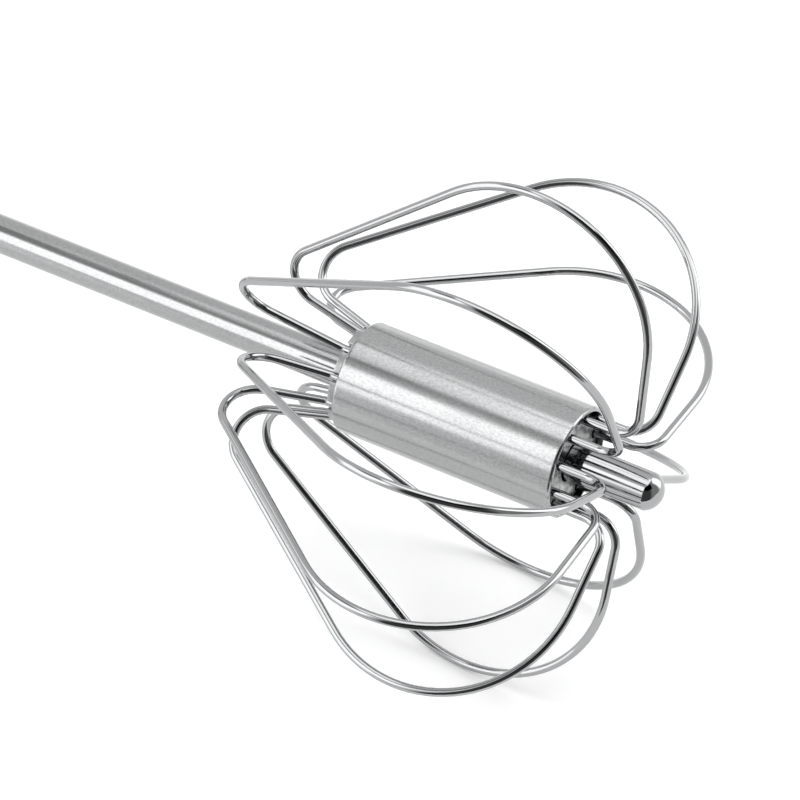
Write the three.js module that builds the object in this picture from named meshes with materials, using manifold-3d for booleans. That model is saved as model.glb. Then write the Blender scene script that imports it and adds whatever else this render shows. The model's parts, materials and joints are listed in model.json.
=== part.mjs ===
// Rotary push whisk, in millimetres.
//
// A cage of bent wires is held by two slotted discs inside a steel sleeve, on the end of a tubular shaft.
// Pushing the handle down over the shaft turns the cage: a twisted strip fixed in the handle runs
// through a slotted nut on top of the shaft, and a coil spring inside the handle pushes it back up.
// Each piece is modelled along the X axis, with X = 0 at the sleeve's mouth and the tip towards +X.
// The finished whisk is then laid down on its cage and the end of its handle, as it lies on a table.

import * as THREE from "three";
import { mergeVertices } from "three/addons/utils/BufferGeometryUtils.js";
import Module from "manifold-3d";

// Cage of wires
const PETAL_COUNT = 10;
const WIRE_DIAMETER = 1.15;
const CAGE_DIAMETER = 71;
const MOUTH_RUN = 3.7;
const MOUTH_BEND_RADIUS = 3.5;
const BELLY_BEND_RADIUS = 17.4;
const CONE_ANGLE = 37;
const HEEL_BEND_RADIUS = 4.2;
const RETURN_ANGLE = 15.3;
const RETURN_BEND_RADIUS = 2.3;
const WIRE_END_GAP = 0.6;
// The wires are bent by hand, so no two are alike. Each leans a little out of its own radial plane, its
// cone side slopes a little more or less, both in degrees, and its crown stands higher or lower.
const PETAL_LEANS = [-3, -2, 10, 4, 8, 1, -3, 0, -4, -4];
const PETAL_CONE_OFFSETS = [2, 1, 3, -4, 1, 0, -2, -2, -2, 0];
const PETAL_CROWN_OFFSETS = [0, -0.5, 1, 0, -0.5, 0.5, -0.5, -1, -2, 0.5];
// The cage is turned on its shaft until it lies on two wires, in degrees.
const CAGE_TURN = -1.2;

// Sleeve and the two discs inside it
const SLEEVE_DIAMETER = 14.9;
const SLEEVE_WALL = 0.55;
const SLEEVE_LENGTH = 31.6;
const SLEEVE_EDGE_RADIUS = 0.4;
const DISC_THICKNESS = 6;
const FRONT_DISC_RECESS = 0.8;
const REAR_DISC_STAND_OUT = 1;

// Shaft and its tip
const SHAFT_DIAMETER = 5;
const SHAFT_WALL = 0.5;
const BARE_SHAFT_LENGTH = 95;
const TIP_REACH = 12;
const TIP_DOME_HEIGHT = 1.7;
const TIP_SEAT_DEPTH = 4;
const TIP_SPIGOT_LENGTH = 8;

// Drive: twisted strip, slotted nut, washer and return spring
const STRIP_WIDTH = 3.3;
const STRIP_THICKNESS = 0.8;
const STRIP_LEAD = 40;
const STRIP_ENGAGEMENT = 12;
const STRIP_SEAT_DEPTH = 8;
const NUT_SOCKET_LENGTH = 6;
const NUT_SOCKET_DIAMETER = 9;
const NUT_WEB = 3.5;
const NUT_FLANGE_DIAMETER = 14;
const WASHER_DIAMETER = 15.4;
const WASHER_THICKNESS = 1.2;
const SPRING_DIAMETER = 14.4;
const SPRING_WIRE = 1;
const SPRING_CURLS = 24;
const SPRING_CLOSED_CURLS = 1.5;
const SPRING_CLOSED_PITCH = 1.9;
const ANCHOR_PIN_DIAMETER = 1.3;

// Handle
const HANDLE_DIAMETER = 18;
const HANDLE_WALL = 0.7;
const HANDLE_TUBE_LENGTH = 142;
const FERRULE_FLANGE = 3;
const FERRULE_EDGE_RADIUS = 1.2;
const FERRULE_SPIGOT_LENGTH = 9;
const BUSH_WALL = 1;
const BUSH_FLANGE_THICKNESS = 1.2;
const BUSH_FLANGE_DIAMETER = 12;
const CAP_SPIGOT_LENGTH = 10;
const CAP_FLANGE = 1.5;
const CAP_EDGE_RADIUS = 3;
const EYE_WIDTH = 14;
const EYE_THICKNESS = 3;
const EYE_HOLE_DIAMETER = 8;
const EYE_HOLE_STAND_OFF = 5.5;

// Clearance between pieces that fit each other, and facets round a turned piece
const FIT_GAP = 0.3;
const LARGE_ROUND = 48;
const SMALL_ROUND = 24;
const WIRE_SIDES = 8;
const SPRING_SIDES = 5;
const STEPS_PER_CURL = 8;
const STRIP_STEPS_PER_TURN = 24;
const CROSS_ROD_FACETS = 12;
const BEND_STEP = 40;
const SAME_CORNER = 1e-3;
const SETTLING_PASSES = 8;

// Radii that follow from those sizes
const SLEEVE_BORE_RADIUS = SLEEVE_DIAMETER / 2 - SLEEVE_WALL;
const ROD_RADIUS = SLEEVE_BORE_RADIUS - FIT_GAP - WIRE_DIAMETER / 2;
const SHAFT_RADIUS = SHAFT_DIAMETER / 2;
const SHAFT_BORE_RADIUS = SHAFT_RADIUS - SHAFT_WALL;
const HANDLE_RADIUS = HANDLE_DIAMETER / 2;
const HANDLE_BORE_RADIUS = HANDLE_RADIUS - HANDLE_WALL;
const SPIGOT_RADIUS = HANDLE_BORE_RADIUS - FIT_GAP;
const BUSH_RADIUS = SHAFT_RADIUS + FIT_GAP + BUSH_WALL;

// Places along the axis, from the sleeve's mouth back to the handle's end
const SHAFT_FRONT = -FRONT_DISC_RECESS - TIP_SEAT_DEPTH;
const FERRULE_FACE = -SLEEVE_LENGTH - BARE_SHAFT_LENGTH;
const FERRULE_SHOULDER = FERRULE_FACE - FERRULE_FLANGE;
const FERRULE_BACK = FERRULE_SHOULDER - FERRULE_SPIGOT_LENGTH;
const TUBE_FRONT = FERRULE_SHOULDER - FIT_GAP;
const TUBE_BACK = TUBE_FRONT - HANDLE_TUBE_LENGTH;
const BUSH_BACK = FERRULE_BACK - FIT_GAP - BUSH_FLANGE_THICKNESS;
const NUT_FRONT = BUSH_BACK - FIT_GAP;
const NUT_SHOULDER = NUT_FRONT - NUT_SOCKET_LENGTH;
const SHAFT_BACK = NUT_SHOULDER + FIT_GAP;
const NUT_BACK = NUT_SHOULDER - NUT_WEB;
const WASHER_BACK = NUT_BACK - FIT_GAP - WASHER_THICKNESS;
const CAP_SHOULDER = TUBE_BACK - FIT_GAP;
const CAP_FACE = CAP_SHOULDER + CAP_SPIGOT_LENGTH;
const CAP_CROWN = CAP_SHOULDER - CAP_FLANGE - CAP_EDGE_RADIUS;
const STRIP_BACK = CAP_FACE - STRIP_SEAT_DEPTH;
const STRIP_FRONT = NUT_SHOULDER + STRIP_ENGAGEMENT;
const EYE_CENTRE = CAP_CROWN - EYE_HOLE_STAND_OFF - EYE_HOLE_DIAMETER / 2;
const ANCHOR_PIN_PLACE = (STRIP_BACK + CAP_FACE) / 2;

// Finishes
const metal = (color, roughness) => new THREE.MeshStandardMaterial({ color, roughness, metalness: 1 });
const polishedWire = metal(0xd2d3d4, 0.12);
const brushedSleeve = metal(0xb9babb, 0.34);
const satinTube = metal(0xadaeaf, 0.38);
const turnedSteel = metal(0xbcbdbe, 0.25);
const springSteel = metal(0x8f9092, 0.4);
const nylon = new THREE.MeshStandardMaterial({ color: 0xe4e2da, roughness: 0.55, metalness: 0 });

// Turns an extrusion along Z into one along X, the whisk's axis.
const AXIS_FROM_Z = new THREE.Matrix4().makeBasis(
  new THREE.Vector3(0, 1, 0),
  new THREE.Vector3(0, 0, 1),
  new THREE.Vector3(1, 0, 0),
);

const radians = THREE.MathUtils.degToRad;

const wasm = await Module();
wasm.setup();

// Solid with shared corners, ready for cutting and joining.
function solidOf(geometry) {
  const corners = new THREE.BufferGeometry();
  const loose = geometry.index ? geometry.toNonIndexed() : geometry;
  corners.setAttribute("position", loose.getAttribute("position"));
  const merged = mergeVertices(corners, SAME_CORNER);
  const vertProperties = new Float32Array(merged.getAttribute("position").array);
  const triVerts = new Uint32Array(merged.index.array);
  return new wasm.Manifold(new wasm.Mesh({ numProp: 3, vertProperties, triVerts }));
}

function geometryOf(solid) {
  const mesh = solid.getMesh();
  const geometry = new THREE.BufferGeometry();
  geometry.setAttribute("position", new THREE.BufferAttribute(mesh.vertProperties, 3));
  geometry.setIndex(new THREE.BufferAttribute(mesh.triVerts, 1));
  geometry.computeVertexNormals();
  return geometry;
}

function cutFrom(body, ...tools) {
  return geometryOf(tools.reduce((rest, tool) => rest.subtract(solidOf(tool)), solidOf(body)));
}

function joined(body, ...others) {
  return geometryOf(others.reduce((whole, other) => whole.add(solidOf(other)), solidOf(body)));
}

// Body turned about the X axis. The profile lists [x, radius], with the material on its left, and
// either closes on itself or runs from the axis at the front to the axis at the back.
function turned(profile, facets) {
  const points = profile.map(([x, radius]) => new THREE.Vector2(radius, x)).reverse();
  return new THREE.LatheGeometry(points, facets).rotateZ(-Math.PI / 2);
}

// Round corner of a profile, as [x, radius] points on an arc between two angles in degrees.
function corner(x, radius, arcRadius, fromAngle, toAngle, steps = 4) {
  const points = [];
  for (let step = 0; step <= steps; step++) {
    const angle = radians(fromAngle + ((toAngle - fromAngle) * step) / steps);
    points.push([x + arcRadius * Math.cos(angle), radius + arcRadius * Math.sin(angle)]);
  }
  return points;
}

// Straight tube between two places on the axis.
function tube(back, front, radius, bore, facets) {
  return turned([[back, bore], [front, bore], [front, radius], [back, radius], [back, bore]], facets);
}

// Centre line of a bent wire in the X-Y plane, made of straight runs and round bends.
// Its parameter counts stations instead of length, so that a straight run is a single facet.
class BentWire extends THREE.Curve {
  constructor(x, y) {
    super();
    this.stations = [{ x, y, heading: 0 }];
  }

  get end() {
    return this.stations[this.stations.length - 1];
  }

  run(length) {
    const { x, y, heading } = this.end;
    this.stations.push({ x: x + length * Math.cos(heading), y: y + length * Math.sin(heading), heading });
  }

  bend(radius, angle) {
    const steps = Math.ceil((angle * Math.sqrt(radius)) / BEND_STEP);
    const { x, y, heading } = this.end;
    for (let step = 1; step <= steps; step++) {
      const turn = heading + radians((angle * step) / steps);
      this.stations.push({
        x: x + radius * (Math.sin(turn) - Math.sin(heading)),
        y: y + radius * (Math.cos(heading) - Math.cos(turn)),
        heading: turn,
      });
    }
  }

  station(t) {
    return this.stations[Math.round(t * (this.stations.length - 1))];
  }

  getPoint(t) {
    const { x, y } = this.station(t);
    return new THREE.Vector3(x, y, 0);
  }

  getTangent(t) {
    const { heading } = this.station(t);
    return new THREE.Vector3(Math.cos(heading), Math.sin(heading), 0);
  }

  getUtoTmapping(u) {
    return u;
  }
}

// Round wire along a path.
function wireAlong(path, steps, diameter, sides) {
  const section = new THREE.Shape();
  section.absarc(0, 0, diameter / 2, 0, 2 * Math.PI);
  const settings = { steps, extrudePath: path, curveSegments: sides / 2, bevelEnabled: false };
  return new THREE.ExtrudeGeometry(section, settings);
}

// One petal: out of the mouth, a sharp bend outwards, round the belly, down the cone side, round the
// heel and back into the rear disc. Y is the distance outwards from the petal's own rod.
function petal(crownOffset, coneAngle) {
  const middle = -SLEEVE_LENGTH / 2;
  const crown = CAGE_DIAMETER / 2 - WIRE_DIAMETER / 2 - ROD_RADIUS + crownOffset;
  const path = new BentWire(middle + WIRE_END_GAP / 2, 0);
  path.run(MOUTH_RUN - path.end.x);
  path.bend(MOUTH_BEND_RADIUS, 90);
  path.run(crown - MOUTH_BEND_RADIUS - BELLY_BEND_RADIUS);
  path.bend(BELLY_BEND_RADIUS, 90 + coneAngle);

  // The cone side and the return run are as long as it takes to come back to the rod's line.
  const cone = radians(180 + coneAngle);
  const back = radians(360 - RETURN_ANGLE);
  const heelX = HEEL_BEND_RADIUS * (Math.sin(back) - Math.sin(cone));
  const heelY = HEEL_BEND_RADIUS * (Math.cos(cone) - Math.cos(back));
  const settleX = -RETURN_BEND_RADIUS * Math.sin(back);
  const settleY = RETURN_BEND_RADIUS * (Math.cos(back) - 1);
  const leftX = -SLEEVE_LENGTH - REAR_DISC_STAND_OUT - path.end.x - heelX - settleX;
  const leftY = -path.end.y - heelY - settleY;
  const between = Math.sin(back - cone);
  path.run((leftX * Math.sin(back) - leftY * Math.cos(back)) / between);
  path.bend(HEEL_BEND_RADIUS, 180 - coneAngle - RETURN_ANGLE);
  path.run((leftY * Math.cos(cone) - leftX * Math.sin(cone)) / between);
  path.bend(RETURN_BEND_RADIUS, RETURN_ANGLE);
  path.run(middle - WIRE_END_GAP / 2 - path.end.x);
  return wireAlong(path, path.stations.length - 1, WIRE_DIAMETER, WIRE_SIDES);
}

function wireSleeve() {
  const radius = SLEEVE_DIAMETER / 2;
  const edge = SLEEVE_EDGE_RADIUS;
  return turned([
    [-SLEEVE_LENGTH, SLEEVE_BORE_RADIUS],
    [0, SLEEVE_BORE_RADIUS],
    ...corner(-edge, radius - edge, edge, 0, 90),
    ...corner(-SLEEVE_LENGTH + edge, radius - edge, edge, 90, 180),
    [-SLEEVE_LENGTH, SLEEVE_BORE_RADIUS],
  ], LARGE_ROUND);
}

// Disc with a slot for each wire in its rim and a bore for the shaft.
function slottedDisc(back) {
  const rim = SLEEVE_BORE_RADIUS - FIT_GAP;
  const slot = WIRE_DIAMETER / 2 + FIT_GAP;
  const pitch = (2 * Math.PI) / PETAL_COUNT;
  const slotHalf = Math.acos((ROD_RADIUS ** 2 + rim ** 2 - slot ** 2) / (2 * ROD_RADIUS * rim));
  const slotOpening = Math.acos((rim * Math.cos(slotHalf) - ROD_RADIUS) / slot);
  const outline = new THREE.Shape();
  for (let i = 0; i < PETAL_COUNT; i++) {
    const angle = i * pitch;
    const [x, y] = [ROD_RADIUS * Math.cos(angle), ROD_RADIUS * Math.sin(angle)];
    outline.absarc(x, y, slot, angle - slotOpening, angle + slotOpening, true);
    outline.lineTo(rim * Math.cos(angle + pitch / 2), rim * Math.sin(angle + pitch / 2));
  }
  const bore = new THREE.Path();
  for (let quarter = 4; quarter > 0; quarter--) {
    const from = (quarter * Math.PI) / 2;
    bore.absarc(0, 0, SHAFT_RADIUS + FIT_GAP, from, from - Math.PI / 2, true);
  }
  outline.holes.push(bore);
  const settings = { depth: DISC_THICKNESS, curveSegments: 3, bevelEnabled: false };
  return new THREE.ExtrudeGeometry(outline, settings).applyMatrix4(AXIS_FROM_Z).translate(back, 0, 0);
}

// Domed pin that the whisk stands on, with a spigot in the shaft's bore.
function tipPin() {
  const seat = SHAFT_FRONT + FIT_GAP;
  const spigot = SHAFT_BORE_RADIUS - FIT_GAP;
  const domeRadius = (SHAFT_RADIUS ** 2 + TIP_DOME_HEIGHT ** 2) / (2 * TIP_DOME_HEIGHT);
  const domeAngle = THREE.MathUtils.radToDeg(Math.asin(SHAFT_RADIUS / domeRadius));
  return turned([
    ...corner(TIP_REACH - domeRadius, 0, domeRadius, 0, domeAngle, 6),
    [seat, SHAFT_RADIUS],
    [seat, spigot],
    [seat - TIP_SPIGOT_LENGTH, spigot],
    [seat - TIP_SPIGOT_LENGTH, 0],
  ], SMALL_ROUND);
}

// Flat strip along the axis, turned once in each lead from the cap's face onwards.
function twistedStrip(width, thickness, back, front) {
  const steps = Math.ceil(((front - back) * STRIP_STEPS_PER_TURN) / STRIP_LEAD);
  const strip = new THREE.BoxGeometry(front - back, width, thickness, steps, 1, 1);
  strip.translate((front + back) / 2, 0, 0);
  const position = strip.getAttribute("position");
  const axis = new THREE.Vector3(1, 0, 0);
  const point = new THREE.Vector3();
  for (let i = 0; i < position.count; i++) {
    point.fromBufferAttribute(position, i);
    point.applyAxisAngle(axis, (2 * Math.PI * Math.max(0, point.x - CAP_FACE)) / STRIP_LEAD);
    position.setXYZ(i, point.x, point.y, point.z);
  }
  return strip;
}

// Round rod across the axis at one place, along Z.
function crossRod(place, radius, length) {
  const rod = new THREE.CylinderGeometry(radius, radius, length, CROSS_ROD_FACETS);
  return rod.rotateX(Math.PI / 2).translate(place, 0, 0);
}

function driveStrip() {
  const strip = twistedStrip(STRIP_WIDTH, STRIP_THICKNESS, STRIP_BACK, STRIP_FRONT);
  const pinHole = crossRod(ANCHOR_PIN_PLACE, ANCHOR_PIN_DIAMETER / 2 + FIT_GAP, 2 * STRIP_WIDTH);
  return cutFrom(strip, pinHole);
}

// Nut on top of the shaft, with a socket for the tube and a twisted slot that the strip turns.
function driveNut() {
  const socket = SHAFT_RADIUS + FIT_GAP;
  const body = turned([
    [NUT_SHOULDER, 0],
    [NUT_SHOULDER, socket],
    [NUT_FRONT, socket],
    [NUT_FRONT, NUT_SOCKET_DIAMETER / 2],
    [NUT_SHOULDER, NUT_SOCKET_DIAMETER / 2],
    [NUT_SHOULDER, NUT_FLANGE_DIAMETER / 2],
    [NUT_BACK, NUT_FLANGE_DIAMETER / 2],
    [NUT_BACK, 0],
  ], SMALL_ROUND);
  const play = 2 * FIT_GAP;
  const slot = twistedStrip(STRIP_WIDTH + play, STRIP_THICKNESS + play, NUT_BACK - play, NUT_SHOULDER + play);
  return cutFrom(body, slot);
}

function thrustWasher() {
  const bore = Math.hypot(STRIP_WIDTH, STRIP_THICKNESS) / 2 + FIT_GAP;
  return tube(WASHER_BACK, NUT_BACK - FIT_GAP, WASHER_DIAMETER / 2, bore, SMALL_ROUND);
}

// Centre line of a compression spring, with closer curls at both ends than between them.
class SpringLine extends THREE.Curve {
  constructor(back, front) {
    super();
    this.back = back;
    const closedLength = 2 * SPRING_CLOSED_CURLS * SPRING_CLOSED_PITCH;
    this.openPitch = (front - back - closedLength) / (SPRING_CURLS - 2 * SPRING_CLOSED_CURLS);
  }

  getPoint(t) {
    const curls = t * SPRING_CURLS;
    const closedBehind = Math.min(curls, SPRING_CLOSED_CURLS);
    const closedAhead = Math.max(0, curls - SPRING_CURLS + SPRING_CLOSED_CURLS);
    const open = curls - closedBehind - closedAhead;
    const x = this.back + (closedBehind + closedAhead) * SPRING_CLOSED_PITCH + open * this.openPitch;
    const radius = (SPRING_DIAMETER - SPRING_WIRE) / 2;
    const angle = 2 * Math.PI * curls;
    return new THREE.Vector3(x, radius * Math.cos(angle), radius * Math.sin(angle));
  }

  getUtoTmapping(u) {
    return u;
  }
}

function returnSpring() {
  const seat = SPRING_WIRE / 2 + FIT_GAP;
  const line = new SpringLine(CAP_FACE + seat, WASHER_BACK - seat);
  const steps = SPRING_CURLS * STEPS_PER_CURL;
  const points = line.getSpacedPoints(steps);
  let nearest = Infinity;
  for (let i = 0; i < points.length; i++) {
    for (let j = i + STEPS_PER_CURL / 2; j < points.length; j++) {
      nearest = Math.min(nearest, points[i].distanceTo(points[j]));
    }
  }
  console.log(`return spring: least gap between curls ${(nearest - SPRING_WIRE).toFixed(2)} mm`);
  return wireAlong(line, steps, SPRING_WIRE, SPRING_SIDES);
}

// Steel ferrule in the handle's open end, with a rounded flange that covers the tube's edge.
function handleFerrule() {
  const bore = BUSH_RADIUS + FIT_GAP;
  const edge = FERRULE_EDGE_RADIUS;
  return turned([
    [FERRULE_BACK, bore],
    [FERRULE_FACE, bore],
    ...corner(FERRULE_FACE - edge, HANDLE_RADIUS - edge, edge, 0, 90),
    [FERRULE_SHOULDER, HANDLE_RADIUS],
    [FERRULE_SHOULDER, SPIGOT_RADIUS],
    [FERRULE_BACK, SPIGOT_RADIUS],
    [FERRULE_BACK, bore],
  ], LARGE_ROUND);
}

// Bush that the shaft slides and turns in, pushed into the ferrule from inside up to its flange.
function guideBush() {
  const bore = SHAFT_RADIUS + FIT_GAP;
  const flange = FERRULE_BACK - FIT_GAP;
  return turned([
    [BUSH_BACK, bore],
    [FERRULE_FACE, bore],
    [FERRULE_FACE, BUSH_RADIUS],
    [flange, BUSH_RADIUS],
    [flange, BUSH_FLANGE_DIAMETER / 2],
    [BUSH_BACK, BUSH_FLANGE_DIAMETER / 2],
    [BUSH_BACK, bore],
  ], SMALL_ROUND);
}

// Flat eye behind the cap's crown, for hanging the whisk on a hook.
function hangingEye() {
  const half = EYE_WIDTH / 2;
  const outline = new THREE.Shape();
  outline.moveTo(CAP_SHOULDER, half);
  outline.lineTo(EYE_CENTRE, half);
  outline.absarc(EYE_CENTRE, 0, half, Math.PI / 2, (3 * Math.PI) / 2, false);
  outline.lineTo(CAP_SHOULDER, -half);
  const hole = new THREE.Path();
  hole.absarc(EYE_CENTRE, 0, EYE_HOLE_DIAMETER / 2, 2 * Math.PI, Math.PI, true);
  hole.absarc(EYE_CENTRE, 0, EYE_HOLE_DIAMETER / 2, Math.PI, 0, true);
  outline.holes.push(hole);
  const settings = { depth: EYE_THICKNESS, curveSegments: 6, bevelEnabled: false };
  return new THREE.ExtrudeGeometry(outline, settings).translate(0, 0, -EYE_THICKNESS / 2);
}

// Cap in the handle's closed end: a spigot that holds the strip, a low round crown and the eye.
function endCap() {
  const crown = HANDLE_RADIUS - CAP_EDGE_RADIUS;
  const body = turned([
    [CAP_FACE, 0],
    [CAP_FACE, SPIGOT_RADIUS],
    [CAP_SHOULDER, SPIGOT_RADIUS],
    [CAP_SHOULDER, HANDLE_RADIUS],
    ...corner(CAP_CROWN + CAP_EDGE_RADIUS, crown, CAP_EDGE_RADIUS, 90, 180, 6),
    [CAP_CROWN, 0],
  ], LARGE_ROUND);
  const play = 2 * FIT_GAP;
  const back = STRIP_BACK - FIT_GAP;
  const front = CAP_FACE + play;
  const seat = new THREE.BoxGeometry(front - back, STRIP_WIDTH + play, STRIP_THICKNESS + play);
  seat.translate((front + back) / 2, 0, 0);
  const pinHole = crossRod(ANCHOR_PIN_PLACE, ANCHOR_PIN_DIAMETER / 2 + FIT_GAP, HANDLE_DIAMETER);
  return cutFrom(joined(body, hangingEye()), seat, pinHole);
}

function piece(name, geometry, material) {
  const mesh = new THREE.Mesh(geometry, material);
  mesh.name = name;
  return mesh;
}

// The cage and everything that turns with it.
const cage = new THREE.Group();
cage.rotation.x = radians(CAGE_TURN);
for (let i = 0; i < PETAL_COUNT; i++) {
  const angle = (2 * Math.PI * i) / PETAL_COUNT;
  const crownOffset = PETAL_CROWN_OFFSETS[i % PETAL_CROWN_OFFSETS.length];
  const coneAngle = CONE_ANGLE + PETAL_CONE_OFFSETS[i % PETAL_CONE_OFFSETS.length];
  const wire = piece(`petal_wire_${i + 1}`, petal(crownOffset, coneAngle), polishedWire);
  wire.position.set(0, ROD_RADIUS * Math.cos(angle), ROD_RADIUS * Math.sin(angle));
  wire.rotation.x = angle + radians(PETAL_LEANS[i % PETAL_LEANS.length]);
  cage.add(wire);
}
cage.add(
  piece("wire_sleeve", wireSleeve(), brushedSleeve),
  piece("front_wire_disc", slottedDisc(-FRONT_DISC_RECESS - DISC_THICKNESS), turnedSteel),
  piece("rear_wire_disc", slottedDisc(-SLEEVE_LENGTH - REAR_DISC_STAND_OUT), turnedSteel),
);
const head = new THREE.Group();
head.add(
  cage,
  piece("shaft_tube", tube(SHAFT_BACK, SHAFT_FRONT, SHAFT_RADIUS, SHAFT_BORE_RADIUS, SMALL_ROUND), satinTube),
  piece("tip_pin", tipPin(), polishedWire),
  piece("drive_nut", driveNut(), turnedSteel),
);

// The handle, with the strip that turns the nut and the spring that lifts the handle again.
const handle = new THREE.Group();
handle.add(
  piece("handle_tube", tube(TUBE_BACK, TUBE_FRONT, HANDLE_RADIUS, HANDLE_BORE_RADIUS, LARGE_ROUND), satinTube),
  piece("end_cap", endCap(), turnedSteel),
  piece("anchor_pin", crossRod(ANCHOR_PIN_PLACE, ANCHOR_PIN_DIAMETER / 2, 2 * SPIGOT_RADIUS), springSteel),
  piece("drive_strip", driveStrip(), springSteel),
  piece("return_spring", returnSpring(), springSteel),
  piece("handle_ferrule", handleFerrule(), turnedSteel),
  piece("guide_bush", guideBush(), nylon),
);

const whisk = new THREE.Group();
whisk.add(head, handle, piece("thrust_washer", thrustWasher(), turnedSteel));

function lowestPoint(object) {
  const lowest = new THREE.Vector3(0, 0, Infinity);
  const point = new THREE.Vector3();
  object.updateWorldMatrix(true, true);
  object.traverse((mesh) => {
    const position = mesh.geometry?.getAttribute("position");
    for (let i = 0; i < (position?.count ?? 0); i++) {
      point.fromBufferAttribute(position, i).applyMatrix4(mesh.matrixWorld);
      if (point.z < lowest.z) lowest.copy(point);
    }
  });
  return lowest;
}

// Lay the whisk down: raise the tip until the cage and the handle's end touch the same level, then
// put the origin on that level, under the middle of the whisk.
for (let pass = 0; pass < SETTLING_PASSES; pass++) {
  const under = lowestPoint(head);
  const behind = lowestPoint(handle);
  whisk.rotation.y -= (behind.z - under.z) / (under.x - behind.x);
}
const box = new THREE.Box3().setFromObject(whisk, true);
whisk.position.set(-(box.min.x + box.max.x) / 2, -(box.min.y + box.max.y) / 2, -box.min.z);

const model = new THREE.Group();
model.add(whisk);

export default model;
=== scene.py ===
# %% [markdown]
# # A rotary push whisk
# A push whisk is pressed down over a bowl: the handle slides over a thin shaft, a twisted strip inside
# it turns a slotted nut, and the cage of wires spins. The construction is already there as a frame of
# plain solids. This lesson gives that frame its looks: smooth bent wires, brushed and polished steel,
# and the light of a small photo studio.

# %% Load the frame
import json
from math import asin, ceil, cos, degrees, hypot, pi, radians, sin

import bpy
from mathutils import Matrix, Vector


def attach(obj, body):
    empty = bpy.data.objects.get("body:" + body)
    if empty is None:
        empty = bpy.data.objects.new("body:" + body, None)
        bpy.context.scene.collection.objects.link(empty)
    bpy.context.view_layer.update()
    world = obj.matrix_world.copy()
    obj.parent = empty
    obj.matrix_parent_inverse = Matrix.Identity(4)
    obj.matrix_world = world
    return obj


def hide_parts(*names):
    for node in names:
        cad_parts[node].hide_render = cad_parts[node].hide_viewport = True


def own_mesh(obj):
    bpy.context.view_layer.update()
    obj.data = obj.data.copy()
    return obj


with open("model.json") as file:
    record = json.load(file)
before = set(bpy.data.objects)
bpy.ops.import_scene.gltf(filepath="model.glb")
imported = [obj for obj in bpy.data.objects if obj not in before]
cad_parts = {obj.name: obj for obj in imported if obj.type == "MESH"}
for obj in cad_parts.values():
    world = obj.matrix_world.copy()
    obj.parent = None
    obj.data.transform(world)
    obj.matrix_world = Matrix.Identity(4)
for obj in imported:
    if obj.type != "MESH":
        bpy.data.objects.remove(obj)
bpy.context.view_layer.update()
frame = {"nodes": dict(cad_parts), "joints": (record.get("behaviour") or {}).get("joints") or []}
joints = {joint["name"]: joint for joint in frame["joints"]}
MM = 0.001
print("nodes in the frame:", len(frame["nodes"]), "- joints:", ", ".join(joints))

# %% [markdown]
# ## The whisk's own axis
# The whisk lies on its cage and on the end of its handle, so its axis rises a little towards the tip.
# It is far easier to model every piece straight along X, with X = 0 at the mouth of the sleeve, and to
# lay it down at the end with one matrix. That matrix comes from the joint that the cage spins on.

# %% Find the axis of the whisk
PIVOT_BEHIND_MOUTH = 150 * MM

spin_joint = joints["whisk_spin"]
along = -Vector(spin_joint["axis"]).normalized()
across = Vector((0, 1, 0))
over = along.cross(across)
mouth = Vector(spin_joint["pos_m"]) + along * PIVOT_BEHIND_MOUTH
lay_down = Matrix.Translation(mouth) @ Matrix((along, across, over)).transposed().to_4x4()
print("the axis rises", round(degrees(asin(along.z)), 2), "degrees towards the tip")

# %% [markdown]
# ## The camera
# The camera comes first, so that every later look is judged in the photograph's own framing. Its place
# is given as a photographer would see it: how far the whisk's axis slants down across the picture, how
# much the tip points towards the lens, how far the whisk is rolled about its axis, how far away the
# lens is, and where the sleeve's mouth falls in the picture.

# %% Set up the camera
PICTURE_SIZE = 800
MOUTH_IN_PICTURE = (577.7, 463.0)
PIXELS_PER_MM_AT_MOUTH = 8.0
CAMERA_DISTANCE = 560.6 * MM
AXIS_SLANT = radians(21.705)
AXIS_TOWARDS_LENS = radians(21.626)
WHISK_ROLL = radians(41.215)
SENSOR_WIDTH = 36

upward = Vector((0, cos(WHISK_ROLL), sin(WHISK_ROLL)))
lensward = Vector((0, -sin(WHISK_ROLL), cos(WHISK_ROLL)))
tipward = Vector((1, 0, 0))
to_right = (
    tipward * cos(AXIS_TOWARDS_LENS) * cos(AXIS_SLANT)
    + upward * sin(AXIS_SLANT)
    - lensward * sin(AXIS_TOWARDS_LENS) * cos(AXIS_SLANT)
)
to_top = (
    -tipward * cos(AXIS_TOWARDS_LENS) * sin(AXIS_SLANT)
    + upward * cos(AXIS_SLANT)
    + lensward * sin(AXIS_TOWARDS_LENS) * sin(AXIS_SLANT)
)
to_lens = tipward * sin(AXIS_TOWARDS_LENS) + lensward * cos(AXIS_TOWARDS_LENS)
shift_right = (MOUTH_IN_PICTURE[0] - PICTURE_SIZE / 2) / PIXELS_PER_MM_AT_MOUTH * MM
shift_up = (PICTURE_SIZE / 2 - MOUTH_IN_PICTURE[1]) / PIXELS_PER_MM_AT_MOUTH * MM
lens_place = to_lens * CAMERA_DISTANCE - to_right * shift_right - to_top * shift_up

camera_data = bpy.data.cameras.new("camera")
camera_data.sensor_width = SENSOR_WIDTH
camera_data.lens = SENSOR_WIDTH * CAMERA_DISTANCE * PIXELS_PER_MM_AT_MOUTH / (PICTURE_SIZE * MM)
camera_data.clip_start = 10 * MM
camera = bpy.data.objects.new("camera", camera_data)
bpy.context.scene.collection.objects.link(camera)
turn = Matrix((to_right, to_top, to_lens)).transposed().to_4x4()
camera.matrix_world = lay_down @ Matrix.Translation(lens_place) @ turn
bpy.context.scene.camera = camera
print("lens", round(camera_data.lens, 1), "mm, at", [round(value, 3) for value in camera.location])

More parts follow.
